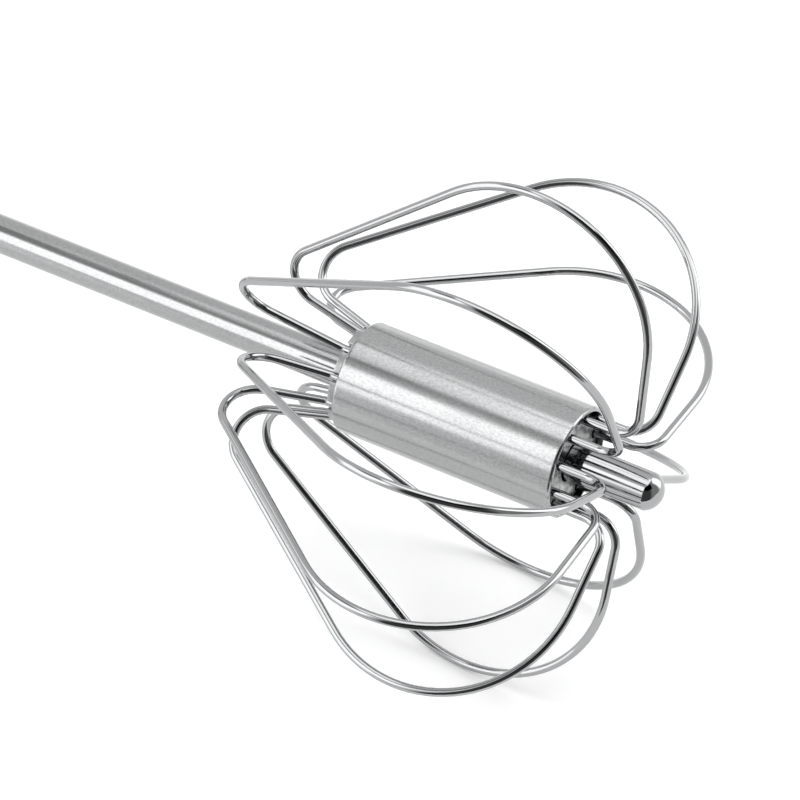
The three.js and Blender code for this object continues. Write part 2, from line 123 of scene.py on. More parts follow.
# %% [markdown]
# ## Working as by hand
# Each piece starts as a primitive and is shaped with the operators that the menus call. An operator acts
# on all that is selected, so the first helper clears the selection. The last one lays a finished piece
# down, recalculates its normals, shades it smooth up to an edge angle, hangs it on the empty of the body
# that carries it, files it under its finish and hides the plain solids it stands for.

# %% Helpers for every piece
SMOOTH_UP_TO = radians(35)
SAME_POINT = 0.001 * MM
pieces_of_finish = {}


def start_fresh():
    if bpy.context.mode != "OBJECT":
        bpy.ops.object.mode_set(mode="OBJECT")
    bpy.ops.object.select_all(action="DESELECT")


def pick(piece):
    start_fresh()
    piece.select_set(True)
    bpy.context.view_layer.objects.active = piece


def weld_and_turn_outwards(piece):
    pick(piece)
    bpy.ops.object.mode_set(mode="EDIT")
    bpy.ops.mesh.select_all(action="SELECT")
    bpy.ops.mesh.remove_doubles(threshold=SAME_POINT)
    bpy.ops.mesh.normals_make_consistent(inside=False)
    bpy.ops.object.mode_set(mode="OBJECT")


def finish_piece(piece, name, body, slot, *nodes):
    weld_and_turn_outwards(piece)
    piece.name = piece.data.name = name
    bpy.ops.object.shade_smooth_by_angle(angle=SMOOTH_UP_TO)
    piece.data.transform(lay_down)
    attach(piece, body)
    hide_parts(*nodes)
    pieces_of_finish.setdefault(slot, []).append(piece)
    print(name, "has", len(piece.data.polygons), "faces")


print("edges up to", round(degrees(SMOOTH_UP_TO)), "degrees are shaded smooth")

# %% [markdown]
# ## Bending a wire
# A wire bender pushes straight wire out of a die and bends it round pins of a few sizes. The same can be
# done in edit mode: a ring of points is extruded for each straight run and spun round a centre for each
# bend. The ring stays square to the wire all the way, so the tube keeps its thickness. Each straight run
# also gets a ring close to both ends, which keeps the reflections on it straight. The bender notes how
# much wire has gone through, and each point keeps that length as an attribute for the finish to read.

# %% A wire bender
WIRE_SIDES = 20
BEND_STEP = radians(4)
HOLD = 0.15 * MM


class WireBender:
    def __init__(self, start, diameter):
        start_fresh()
        bpy.ops.mesh.primitive_circle_add(
            vertices=WIRE_SIDES, radius=diameter / 2, location=(start, 0, 0), rotation=(0, pi / 2, 0)
        )
        self.wire = bpy.context.object
        self.radius = diameter / 2
        bpy.ops.object.transform_apply()
        bpy.ops.object.mode_set(mode="EDIT")
        self.x, self.y, self.heading = start, 0, 0
        self.lengths = [0]

    def run(self, length):
        for part in (HOLD, length - 2 * HOLD, HOLD):
            step = (part * cos(self.heading), part * sin(self.heading), 0)
            bpy.ops.mesh.extrude_region_move(TRANSFORM_OT_translate={"value": step})
            self.lengths.append(self.lengths[-1] + part)
            self.x += step[0]
            self.y += step[1]

    def bend(self, radius, angle):
        centre = (self.x - radius * sin(self.heading), self.y + radius * cos(self.heading), 0)
        steps = ceil(angle / BEND_STEP)
        bpy.ops.mesh.spin(steps=steps, angle=-angle, center=centre, axis=(0, 0, 1))
        start = self.lengths[-1]
        self.lengths += [start + radius * angle * (step + 1) / steps for step in range(steps)]
        self.heading += angle
        self.x = centre[0] + radius * sin(self.heading)
        self.y = centre[1] - radius * cos(self.heading)

    def cut_off(self):
        bpy.ops.mesh.select_all(action="DESELECT")
        bpy.ops.mesh.select_non_manifold()
        bpy.ops.mesh.edge_face_add()
        start_fresh()
        straight = self.wire.data.attributes.new("straight", "FLOAT_VECTOR", "POINT")
        for number, point in enumerate(straight.data):
            ring, side = divmod(number, WIRE_SIDES)
            angle = 2 * pi * side / WIRE_SIDES
            point.vector = (self.lengths[ring], self.radius * cos(angle), self.radius * sin(angle))
        return self.wire


print("a bend gets a ring every", round(degrees(BEND_STEP)), "degrees")

# %% [markdown]
# ## One petal
# Each petal leaves the mouth of the sleeve, turns sharply outwards, goes round the belly of the cage,
# runs straight down its cone side, turns back at the heel and enters the disc at the shaft end. The two
# straight runs beside the heel are worked out so that the wire comes back to the line it started from:
# they are the two unknown lengths that close the loop.

# %% How a petal is bent
WIRE = 1.15 * MM
CAGE_DIAMETER = 71 * MM
SLEEVE_LENGTH = 31.6 * MM
SLEEVE_RADIUS = 14.9 / 2 * MM
SLEEVE_WALL = 0.55 * MM
REAR_DISC_STAND_OUT = 1 * MM
FIT_GAP = 0.3 * MM
SLEEVE_BORE = SLEEVE_RADIUS - SLEEVE_WALL
ROD_RADIUS = SLEEVE_BORE - FIT_GAP - WIRE / 2

MOUTH_RUN = 3.7 * MM
MOUTH_BEND = 3.5 * MM
BELLY_BEND = 17.4 * MM
HEEL_BEND = 4.2 * MM
RETURN_BEND = 2.3 * MM
CONE_ANGLE = radians(37)
RETURN_ANGLE = radians(15.3)
WIRE_END_GAP = 0.6 * MM


def bent_petal(crown_offset, cone_angle):
    middle = -SLEEVE_LENGTH / 2
    crown = CAGE_DIAMETER / 2 - WIRE / 2 - ROD_RADIUS + crown_offset
    bender = WireBender(middle + WIRE_END_GAP / 2, WIRE)
    bender.run(MOUTH_RUN - bender.x)
    bender.bend(MOUTH_BEND, pi / 2)
    bender.run(crown - MOUTH_BEND - BELLY_BEND)
    bender.bend(BELLY_BEND, pi / 2 + cone_angle)

    cone = pi + cone_angle
    back = 2 * pi - RETURN_ANGLE
    heel_x = HEEL_BEND * (sin(back) - sin(cone))
    heel_y = HEEL_BEND * (cos(cone) - cos(back))
    left_x = -SLEEVE_LENGTH - REAR_DISC_STAND_OUT - bender.x - heel_x + RETURN_BEND * sin(back)
    left_y = -bender.y - heel_y - RETURN_BEND * (cos(back) - 1)
    bender.run((left_x * sin(back) - left_y * cos(back)) / sin(back - cone))
    bender.bend(HEEL_BEND, back - cone)
    bender.run((left_y * cos(cone) - left_x * sin(cone)) / sin(back - cone))
    bender.bend(RETURN_BEND, RETURN_ANGLE)
    bender.run(middle - WIRE_END_GAP / 2 - bender.x)
    return bender.cut_off(), abs(bender.y)


print("the wires' ends stand", round(ROD_RADIUS / MM, 3), "mm from the axis")

# %% [markdown]
# ## The ten petals
# On the real whisk the wires are bent and set by hand, so no two petals are quite alike: each has its own
# lean, cone slope and crown height, in whole degrees and half millimetres. Ten exact copies would look
# like a drawing. So each petal is bent on its own and set round the axis by one matrix.

# %% Bend the petals and set them round the sleeve
PETAL_LEANS = [-3, -2, 10, 4, 8, 1, -3, 0, -4, -4]
PETAL_CONE_OFFSETS = [2, 1, 3, -4, 1, 0, -2, -2, -2, 0]
PETAL_CROWN_OFFSETS = [0, -0.5, 1, 0, -0.5, 0.5, -0.5, -1, -2, 0.5]
CAGE_TURN = radians(-1.2)
petal_angles = [2 * pi * number / len(PETAL_LEANS) + CAGE_TURN for number in range(len(PETAL_LEANS))]

for number, angle in enumerate(petal_angles):
    crown_offset = PETAL_CROWN_OFFSETS[number] * MM
    petal, miss = bent_petal(crown_offset, CONE_ANGLE + radians(PETAL_CONE_OFFSETS[number]))
    rod = Matrix.Translation((0, ROD_RADIUS * cos(angle), ROD_RADIUS * sin(angle)))
    petal.data.transform(rod @ Matrix.Rotation(angle + radians(PETAL_LEANS[number]), 4, "X"))
    finish_piece(petal, f"petal_{number + 1}", "head", "polished_wire", f"petal_wire_{number + 1}")
    print("it closes to within", round(miss / MM, 4), "mm")

# %% [markdown]
# ## Turned pieces
# The sleeve, shaft, pin, ferrule and cap are all turned or drawn round one axis. Their half outline is
# drawn by extruding a single point from corner to corner, with small arcs at the edges, and the outline
# is then spun a full turn. It is the quickest way to an edge radius that catches the light. Smooth
# shading would lean the ends of a long face over to the rounding beside it, and on polished metal that
# bends every reflection along the whole face. So each long line gets a holding point close to both ends.
# A spun shape starts and ends on the same line and can be inside out. It is welded there and turned
# outwards at once, because a boolean only cuts a closed solid cleanly.

# %% A lathe
ROUND = 96
SLIM_ROUND = 64


def arc(x, radius, arc_radius, from_angle, to_angle, steps=6):
    points = []
    for step in range(steps + 1):
        angle = radians(from_angle + (to_angle - from_angle) * step / steps)
        points.append((x + arc_radius * cos(angle), radius + arc_radius * sin(angle)))
    return points


def held(outline):
    points = outline[:1]
    for start, end in zip(outline, outline[1:]):
        length = hypot(end[0] - start[0], end[1] - start[1])
        if length > 4 * HOLD:
            for share in (HOLD / length, 1 - HOLD / length):
                points.append((start[0] + share * (end[0] - start[0]), start[1] + share * (end[1] - start[1])))
        points.append(end)
    return points


def turned(outline, closed=False, sides=ROUND):
    outline = held(outline + outline[:1] * closed)
    start_fresh()
    bpy.ops.mesh.primitive_plane_add(size=MM, location=(outline[0][0], 0, outline[0][1]))
    piece = bpy.context.object
    bpy.ops.object.transform_apply()
    bpy.ops.object.mode_set(mode="EDIT")
    bpy.ops.mesh.select_all(action="SELECT")
    bpy.ops.mesh.merge(type="CENTER")
    here = outline[0]
    for point in outline[1:]:
        step = (point[0] - here[0], 0, point[1] - here[1])
        bpy.ops.mesh.extrude_region_move(TRANSFORM_OT_translate={"value": step})
        here = point
    bpy.ops.mesh.select_all(action="SELECT")
    bpy.ops.mesh.spin(steps=sides, angle=2 * pi, center=(0, 0, 0), axis=(1, 0, 0))
    weld_and_turn_outwards(piece)
    return piece


def tube(back, front, radius, bore, edge, sides=ROUND):
    outline = [(back, bore), (front, bore)]
    outline += arc(front - edge, radius - edge, edge, 0, 90)
    outline += arc(back + edge, radius - edge, edge, 90, 180)
    return turned(outline, closed=True, sides=sides)


print("a wide piece gets", ROUND, "sides and a slim one", SLIM_ROUND)

# %% [markdown]
# ## The sleeve
# A piece of thin stainless tube, cut to length and lightly rounded where it was cut. It is the calmest
# surface of the whisk, so its edge radius and its straight reflections are what make it look real.

# %% Turn the sleeve
SLEEVE_EDGE = 0.4 * MM

sleeve = tube(-SLEEVE_LENGTH, 0, SLEEVE_RADIUS, SLEEVE_BORE, SLEEVE_EDGE)
finish_piece(sleeve, "sleeve", "head", "brushed_sleeve", "wire_sleeve")

# %% [markdown]
# ## Cutting and joining solids
# Some pieces are not round all over. A boolean modifier cuts or joins them as a saw or a weld would, and
# a bevel modifier takes the sharpness off their edges, as a file would. Both helpers apply their
# modifier at once, so that the next step works on plain mesh again.

# %% A saw and a file
def change(piece, tool, operation):
    pick(piece)
    step = piece.modifiers.new(operation.lower(), "BOOLEAN")
    step.operation = operation
    step.solver = "EXACT"
    step.object = tool
    bpy.ops.object.modifier_apply(modifier=step.name)
    bpy.data.objects.remove(tool)
    print(operation.lower(), "leaves", len(piece.data.polygons), "faces")


def break_edges(piece, width, segments=2):
    pick(piece)
    edge = piece.modifiers.new("edge", "BEVEL")
    edge.width = width
    edge.segments = segments
    edge.limit_method = "ANGLE"
    bpy.ops.object.modifier_apply(modifier=edge.name)


# %% [markdown]
# ## The two wire discs
# Two slotted discs keep the wires spaced round the shaft, one just inside the mouth and one at the shaft
# end. Each is turned, and a round cutter then makes a slot for every wire. All ten cutters are joined
# first, so that one boolean does the work.

# %% Turn and slot the discs
DISC_THICKNESS = 6 * MM
FRONT_DISC_RECESS = 0.8 * MM
SHAFT_RADIUS = 2.5 * MM
DISC_EDGE = 0.1 * MM
CUTTER_SIDES = 32


def slot_cutter(middle):
    cutters = []
    start_fresh()
    for angle in petal_angles:
        bpy.ops.mesh.primitive_cylinder_add(
            vertices=CUTTER_SIDES, radius=WIRE / 2 + FIT_GAP, depth=2 * DISC_THICKNESS, rotation=(0, pi / 2, 0),
            location=(middle, ROD_RADIUS * cos(angle), ROD_RADIUS * sin(angle)),
        )
        cutters.append(bpy.context.object)
    for cutter in cutters:
        cutter.select_set(True)
    bpy.ops.object.join()
    return bpy.context.object


def slotted_disc(back, name, node):
    front = back + DISC_THICKNESS
    inner, outer = SHAFT_RADIUS + FIT_GAP, SLEEVE_BORE - FIT_GAP
    disc = turned([(back, inner), (front, inner), (front, outer), (back, outer)], closed=True)
    change(disc, slot_cutter((back + front) / 2), "DIFFERENCE")
    break_edges(disc, DISC_EDGE)
    finish_piece(disc, name, "head", "turned_steel", node)


slotted_disc(-FRONT_DISC_RECESS - DISC_THICKNESS, "front_disc", "front_wire_disc")
slotted_disc(-SLEEVE_LENGTH - REAR_DISC_STAND_OUT, "rear_disc", "rear_wire_disc")

# %% [markdown]
# ## The shaft and its tip
# The shaft is a drawn tube. The pin that plugs its end is domed, because the whisk turns on it in the
# bottom of the bowl. The dome is the cap of a ball whose radius follows from its width and height.

# %% Turn the shaft and the pin
SHAFT_WALL = 0.5 * MM
SHAFT_EDGE = 0.1 * MM
TIP_SEAT_DEPTH = 4 * MM
TIP_REACH = 12 * MM
TIP_DOME_HEIGHT = 1.7 * MM
TIP_SPIGOT_LENGTH = 8 * MM
BARE_SHAFT = 95 * MM
FERRULE_FACE = -SLEEVE_LENGTH - BARE_SHAFT
FERRULE_FLANGE = 3 * MM
FERRULE_SPIGOT = 9 * MM
FERRULE_BACK = FERRULE_FACE - FERRULE_FLANGE - FERRULE_SPIGOT
BUSH_FLANGE = 1.2 * MM
NUT_SOCKET = 6 * MM
SHAFT_FRONT = -FRONT_DISC_RECESS - TIP_SEAT_DEPTH
SHAFT_BACK = FERRULE_BACK - BUSH_FLANGE - NUT_SOCKET - FIT_GAP

shaft = tube(SHAFT_BACK, SHAFT_FRONT, SHAFT_RADIUS, SHAFT_RADIUS - SHAFT_WALL, SHAFT_EDGE, sides=SLIM_ROUND)
finish_piece(shaft, "shaft", "head", "satin_tube", "shaft_tube")

dome_radius = (SHAFT_RADIUS**2 + TIP_DOME_HEIGHT**2) / (2 * TIP_DOME_HEIGHT)
dome_angle = degrees(asin(SHAFT_RADIUS / dome_radius))
pin_seat = SHAFT_FRONT + FIT_GAP
spigot = SHAFT_RADIUS - SHAFT_WALL - FIT_GAP
pin = turned(
    arc(TIP_REACH - dome_radius, 0, dome_radius, 0, dome_angle, steps=20)
    + [(pin_seat, SHAFT_RADIUS), (pin_seat, spigot), (pin_seat - TIP_SPIGOT_LENGTH, spigot),
       (pin_seat - TIP_SPIGOT_LENGTH, 0)],
    sides=SLIM_ROUND,
)
finish_piece(pin, "tip", "head", "polished_wire", "tip_pin")

# %% [markdown]
# ## The handle
# The handle is a wider tube with a ferrule at the shaft end and a nylon bush for the shaft to slide in.
# All three are round, so the lathe makes them, and the ferrule gets the largest edge radius because the
# hand touches it.

# %% Turn the handle's pieces
HANDLE_RADIUS = 9 * MM
HANDLE_WALL = 0.7 * MM
HANDLE_EDGE = 0.15 * MM
HANDLE_BORE = HANDLE_RADIUS - HANDLE_WALL
HANDLE_TUBE = 142 * MM
SPIGOT_RADIUS = HANDLE_BORE - FIT_GAP
FERRULE_EDGE = 1.2 * MM
BUSH_WALL = 1 * MM
BUSH_RADIUS = SHAFT_RADIUS + FIT_GAP + BUSH_WALL
BUSH_FLANGE_RADIUS = 6 * MM
FERRULE_SHOULDER = FERRULE_FACE - FERRULE_FLANGE
TUBE_FRONT = FERRULE_SHOULDER - FIT_GAP
TUBE_BACK = TUBE_FRONT - HANDLE_TUBE

handle = tube(TUBE_BACK, TUBE_FRONT, HANDLE_RADIUS, HANDLE_BORE, HANDLE_EDGE)
finish_piece(handle, "handle", "handle", "satin_tube", "handle_tube")

ferrule = turned(
    [(FERRULE_BACK, BUSH_RADIUS + FIT_GAP), (FERRULE_FACE, BUSH_RADIUS + FIT_GAP)]
    + arc(FERRULE_FACE - FERRULE_EDGE, HANDLE_RADIUS - FERRULE_EDGE, FERRULE_EDGE, 0, 90, steps=10)
    + [(FERRULE_SHOULDER, HANDLE_RADIUS), (FERRULE_SHOULDER, SPIGOT_RADIUS), (FERRULE_BACK, SPIGOT_RADIUS)],
    closed=True,
)
finish_piece(ferrule, "ferrule", "handle", "turned_steel", "handle_ferrule")

bush_flange = FERRULE_BACK - FIT_GAP
bush_bore = SHAFT_RADIUS + FIT_GAP
bush = turned(
    [(bush_flange - BUSH_FLANGE, bush_bore), (FERRULE_FACE, bush_bore), (FERRULE_FACE, BUSH_RADIUS),
     (bush_flange, BUSH_RADIUS), (bush_flange, BUSH_FLANGE_RADIUS),
     (bush_flange - BUSH_FLANGE, BUSH_FLANGE_RADIUS)],
    closed=True,
)
finish_piece(bush, "bush", "handle", "nylon", "guide_bush")

# %% [markdown]
# ## The flat eye
# The whisk hangs by a flat eye, which is cut from bar: a straight part with a round end and a hole
# through it. A block, a rod for the round end and a rod for the hole give that with two booleans.

# %% Cut the eye from bar
CAP_SPIGOT = 10 * MM
CAP_FLANGE = 1.5 * MM
CAP_EDGE = 3 * MM
EYE_WIDTH = 14 * MM
EYE_THICKNESS = 3 * MM
EYE_HOLE = 8 * MM
EYE_HOLE_STAND_OFF = 5.5 * MM
EYE_EDGE = 0.6 * MM
CAP_SHOULDER = TUBE_BACK - FIT_GAP
CAP_FACE = CAP_SHOULDER + CAP_SPIGOT
CAP_CROWN = CAP_SHOULDER - CAP_FLANGE - CAP_EDGE
EYE_CENTRE = CAP_CROWN - EYE_HOLE_STAND_OFF - EYE_HOLE / 2


def block(back, front, width, thickness):
    start_fresh()
    place = ((back + front) / 2, 0, 0)
    bpy.ops.mesh.primitive_cube_add(size=1, location=place, scale=(front - back, width, thickness))
    bpy.ops.object.transform_apply()
    return bpy.context.object


def cross_rod(place, radius, length):
    start_fresh()
    bpy.ops.mesh.primitive_cylinder_add(
        vertices=SLIM_ROUND, radius=radius, depth=length, location=(place, 0, 0)
    )
    bpy.ops.object.transform_apply()
    return bpy.context.object


eye = block(EYE_CENTRE, CAP_SHOULDER, EYE_WIDTH, EYE_THICKNESS)
change(eye, cross_rod(EYE_CENTRE, EYE_WIDTH / 2, EYE_THICKNESS), "UNION")
change(eye, cross_rod(EYE_CENTRE, EYE_HOLE / 2, 2 * EYE_THICKNESS), "DIFFERENCE")
break_edges(eye, EYE_EDGE, segments=3)

# %% [markdown]
# ## The end cap
# The cap is a plug with a round crown. The eye is welded to it, and a slot and a cross hole in its plug
# take the drive strip and the pin that anchors it. The order matters: the eye is joined first, so that
# the slot and the hole are cut through both.

# %% Make the end cap and the strip's pin
STRIP_WIDTH = 3.3 * MM
STRIP_THICKNESS = 0.8 * MM
STRIP_SEAT = 8 * MM
ANCHOR_PIN = 1.3 * MM
ANCHOR_EDGE = 0.15 * MM
PLAY = 2 * FIT_GAP
STRIP_BACK = CAP_FACE - STRIP_SEAT
ANCHOR_PLACE = (STRIP_BACK + CAP_FACE) / 2

cap = turned(
    [(CAP_FACE, 0), (CAP_FACE, SPIGOT_RADIUS), (CAP_SHOULDER, SPIGOT_RADIUS), (CAP_SHOULDER, HANDLE_RADIUS)]
    + arc(CAP_CROWN + CAP_EDGE, HANDLE_RADIUS - CAP_EDGE, CAP_EDGE, 90, 180, steps=10)
    + [(CAP_CROWN, 0)]
)
change(cap, eye, "UNION")
strip_seat = block(STRIP_BACK - FIT_GAP, CAP_FACE + FIT_GAP, STRIP_WIDTH + PLAY, STRIP_THICKNESS + PLAY)
change(cap, strip_seat, "DIFFERENCE")
change(cap, cross_rod(ANCHOR_PLACE, ANCHOR_PIN / 2 + FIT_GAP, 2 * HANDLE_RADIUS), "DIFFERENCE")
finish_piece(cap, "cap_with_eye", "handle", "turned_steel", "end_cap")

anchor = cross_rod(ANCHOR_PLACE, ANCHOR_PIN / 2, 2 * SPIGOT_RADIUS)
break_edges(anchor, ANCHOR_EDGE)
finish_piece(anchor, "strip_pin", "handle", "spring_steel", "anchor_pin")

# %% [markdown]
# ## Sweeping a shape along a screw
# A strip is twisted and a spring is wound, and both are a small outline that turns about the axis while
# it moves along it. The Screw modifier does just that. It leaves both ends open, so a second helper
# welds what meets and closes the ends.

# %% Helpers for screws
def screwed(profile, angle, travel, step):
    steps = round(angle / step)
    pick(profile)
    sweep = profile.modifiers.new("sweep", "SCREW")
    sweep.axis = "X"
    sweep.angle = angle
    sweep.screw_offset = travel
    sweep.steps = sweep.render_steps = steps
    bpy.ops.object.modifier_apply(modifier=sweep.name)
    print("swept", round(travel / MM, 2), "mm along in", steps, "steps")
    return profile


def close_ends(piece):
    pick(piece)
    bpy.ops.object.mode_set(mode="EDIT")
    bpy.ops.mesh.select_all(action="SELECT")
    bpy.ops.mesh.remove_doubles(threshold=SAME_POINT)
    bpy.ops.mesh.select_all(action="DESELECT")
    bpy.ops.mesh.select_non_manifold()
    bpy.ops.mesh.edge_face_add()
    bpy.ops.mesh.select_all(action="SELECT")
    bpy.ops.mesh.normals_make_consistent(inside=False)
    start_fresh()


# %% [markdown]
# ## The drive inside the handle
# A flat strip is clamped at one end and twisted, one full turn in 40 mm. Here a small rectangle is swept
# along the screw. The end that sits in the cap stays straight, so it is extruded.

# %% Twist the strip
STRIP_LEAD = 40 * MM
STRIP_ENGAGEMENT = 12 * MM
STRIP_STEP = radians(5)
NUT_SHOULDER = SHAFT_BACK - FIT_GAP
STRIP_FRONT = NUT_SHOULDER + STRIP_ENGAGEMENT


def rectangle(place, width, thickness):
    start_fresh()
    bpy.ops.mesh.primitive_plane_add(size=1, location=(place, 0, 0), rotation=(0, pi / 2, 0))
    section = bpy.context.object
    section.scale = (thickness, width, 1)
    bpy.ops.object.transform_apply()
    bpy.ops.object.mode_set(mode="EDIT")
    bpy.ops.mesh.delete(type="ONLY_FACE")
    return section


def select_behind(piece, place):
    pick(piece)
    bpy.ops.object.mode_set(mode="EDIT")
    bpy.ops.mesh.select_mode(type="VERT")
    bpy.ops.mesh.select_all(action="DESELECT")
    bpy.ops.object.mode_set(mode="OBJECT")
    for corner in piece.data.vertices:
        corner.select = corner.co.x < place
    bpy.ops.object.mode_set(mode="EDIT")


def twisted_bar(back, front, width, thickness):
    twist_from = max(back, CAP_FACE)
    bar = rectangle(twist_from, width, thickness)
    start_fresh()
    bar.data.transform(Matrix.Rotation((twist_from - CAP_FACE) / STRIP_LEAD * 2 * pi, 4, "X"))
    screwed(bar, (front - twist_from) / STRIP_LEAD * 2 * pi, front - twist_from, STRIP_STEP)
    if back < twist_from:
        select_behind(bar, twist_from + FIT_GAP / 2)
        bpy.ops.mesh.extrude_region_move(TRANSFORM_OT_translate={"value": (back - twist_from, 0, 0)})
    close_ends(bar)
    return bar


strip = twisted_bar(STRIP_BACK, STRIP_FRONT, STRIP_WIDTH, STRIP_THICKNESS)
change(strip, cross_rod(ANCHOR_PLACE, ANCHOR_PIN / 2 + FIT_GAP, 2 * STRIP_WIDTH), "DIFFERENCE")
finish_piece(strip, "twisted_strip", "handle", "spring_steel", "drive_strip")

# %% [markdown]
# ## The nut and its washer
# The nut sits on top of the shaft. Its slot is cut with a slightly larger copy of the strip, so it has
# the same twist, and the strip turns it as it passes through. The washer between nut and spring only
# slides, so that the spring doesn't have to turn.

# %% Turn the nut and the washer
NUT_WEB = 3.5 * MM
NUT_SOCKET_RADIUS = 4.5 * MM
NUT_RADIUS = 7 * MM
NUT_EDGE = 0.3 * MM
WASHER_RADIUS = 7.7 * MM
WASHER_THICKNESS = 1.2 * MM
WASHER_EDGE = 0.2 * MM
NUT_FRONT = NUT_SHOULDER + NUT_SOCKET
NUT_BACK = NUT_SHOULDER - NUT_WEB
WASHER_FRONT = NUT_BACK - FIT_GAP
WASHER_BACK = WASHER_FRONT - WASHER_THICKNESS

nut = turned(
    [(NUT_SHOULDER, 0), (NUT_SHOULDER, SHAFT_RADIUS + FIT_GAP), (NUT_FRONT, SHAFT_RADIUS + FIT_GAP)]
    + arc(NUT_FRONT - NUT_EDGE, NUT_SOCKET_RADIUS - NUT_EDGE, NUT_EDGE, 0, 90, steps=3)
    + [(NUT_SHOULDER, NUT_SOCKET_RADIUS)]
    + arc(NUT_SHOULDER - NUT_EDGE, NUT_RADIUS - NUT_EDGE, NUT_EDGE, 0, 90, steps=3)
    + arc(NUT_BACK + NUT_EDGE, NUT_RADIUS - NUT_EDGE, NUT_EDGE, 90, 180, steps=3)
    + [(NUT_BACK, 0)],
    sides=SLIM_ROUND,
)
nut_slot = twisted_bar(NUT_BACK - PLAY, NUT_SHOULDER + PLAY, STRIP_WIDTH + PLAY, STRIP_THICKNESS + PLAY)
change(nut, nut_slot, "DIFFERENCE")
finish_piece(nut, "slotted_nut", "head", "turned_steel", "drive_nut")

washer_bore = hypot(STRIP_WIDTH, STRIP_THICKNESS) / 2 + FIT_GAP
washer = tube(WASHER_BACK, WASHER_FRONT, WASHER_RADIUS, washer_bore, WASHER_EDGE)
finish_piece(washer, "washer", "carriage", "turned_steel", "thrust_washer")

# %% [markdown]
# ## The return spring
# A compression spring is wire wound on a bar, with the last curls wound close so that it stands square.
# It is swept in three stretches, close, open and close, each starting where the one before ended. As
# the handle is pushed down it is pressed towards the cap.

# %% Wind the spring
SPRING_DIAMETER = 14.4 * MM
SPRING_WIRE = 1 * MM
SPRING_CURLS = 24
CLOSED_CURLS = 1.5
CLOSED_PITCH = 1.9 * MM
CURL_STEP = 2 * pi / 24
SPRING_WIRE_SIDES = 12

spring_seat = SPRING_WIRE / 2 + FIT_GAP
spring_back = CAP_FACE + spring_seat
spring_front = WASHER_BACK - spring_seat
open_curls = SPRING_CURLS - 2 * CLOSED_CURLS
open_length = spring_front - spring_back - 2 * CLOSED_CURLS * CLOSED_PITCH
coil_radius = (SPRING_DIAMETER - SPRING_WIRE) / 2


def curls(place, start_angle, count, travel):
    start_fresh()
    bpy.ops.mesh.primitive_circle_add(
        vertices=SPRING_WIRE_SIDES, radius=SPRING_WIRE / 2, location=(place, coil_radius, 0)
    )
    ring = bpy.context.object
    bpy.ops.object.transform_apply()
    ring.data.transform(Matrix.Rotation(start_angle, 4, "X"))
    return screwed(ring, count * 2 * pi, travel, CURL_STEP)


spring = curls(spring_back, 0, CLOSED_CURLS, CLOSED_CURLS * CLOSED_PITCH)
stretches = [
    curls(spring_back + CLOSED_CURLS * CLOSED_PITCH, CLOSED_CURLS * 2 * pi, open_curls, open_length),
    curls(spring_front - CLOSED_CURLS * CLOSED_PITCH, -CLOSED_CURLS * 2 * pi, CLOSED_CURLS,
          CLOSED_CURLS * CLOSED_PITCH),
]
pick(spring)
for stretch in stretches:
    stretch.select_set(True)
bpy.ops.object.join()
close_ends(spring)
finish_piece(spring, "spring", "handle", "spring_steel", "return_spring")

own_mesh(spring)

# %% [markdown]
# ## Nodes and colours
# Every finish is a small node tree on the Principled shader. One helper adds a node, sets it and links
# it, and one turns the colours that a paint program shows into the linear values that light needs. The
# last gives a place on the whisk in its own straight axes, measured in steps of the pattern's real size,
# so that a pattern follows the pieces' length and stays with them when they move.

# %% Helpers for node trees
def add(tree, kind, sockets=None, **settings):
    node = tree.nodes.new("ShaderNode" + kind)
    for name, value in settings.items():
        setattr(node, name, value)
    for name, value in (sockets or {}).items():
        if isinstance(value, bpy.types.NodeSocket):
            tree.links.new(value, node.inputs[name])
        else:
            node.inputs[name].default_value = value
    return node


def linear(colour):
    channels = [int(colour[start:start + 2], 16) / 255 for start in (1, 3, 5)]
    return [c / 12.92 if c <= 0.04045 else ((c + 0.055) / 1.055) ** 2.4 for c in channels] + [1]


def new_finish(name, **sockets):
    finish = bpy.data.materials.new(name)
    finish.use_nodes = True
    shader = finish.node_tree.nodes["Principled BSDF"]
    for socket, value in sockets.items():
        shader.inputs[socket.replace("_", " ")].default_value = value
    print("finish:", name)
    return finish, finish.node_tree, shader


def on_the_whisk(tree, size):
    place = add(tree, "TexCoord").outputs["Object"]
    return add(tree, "Mapping", {
        "Vector": place, "Location": mouth, "Rotation": lay_down.to_euler(), "Scale": size,
    }, vector_type="TEXTURE").outputs["Vector"]


# %% [markdown]
# ## Polished wire
# The cage is stainless spring wire, drawn through a die and polished after bending. Polishing leaves it
# nearly a mirror, so a wire shows the room as thin bright and dark lines along its length. What is left
# of the drawing are faint lengthwise lines. They follow the wire round its bends because they are read
# from the attribute that still holds where each point lay while the wire was straight. Where hands and
# bowls have touched it, the mirror is a little duller.

# %% Finish of the wires
# Real draw lines are a few hundredths of a millimetre wide. They are drawn wider, so that they show.
DRAW_LINE = 0.15 * MM
DRAW_LINE_LENGTH = 25 * MM
DRAW_LINE_DEPTH = 0.0008 * MM
HANDLING_MARK = 3 * MM

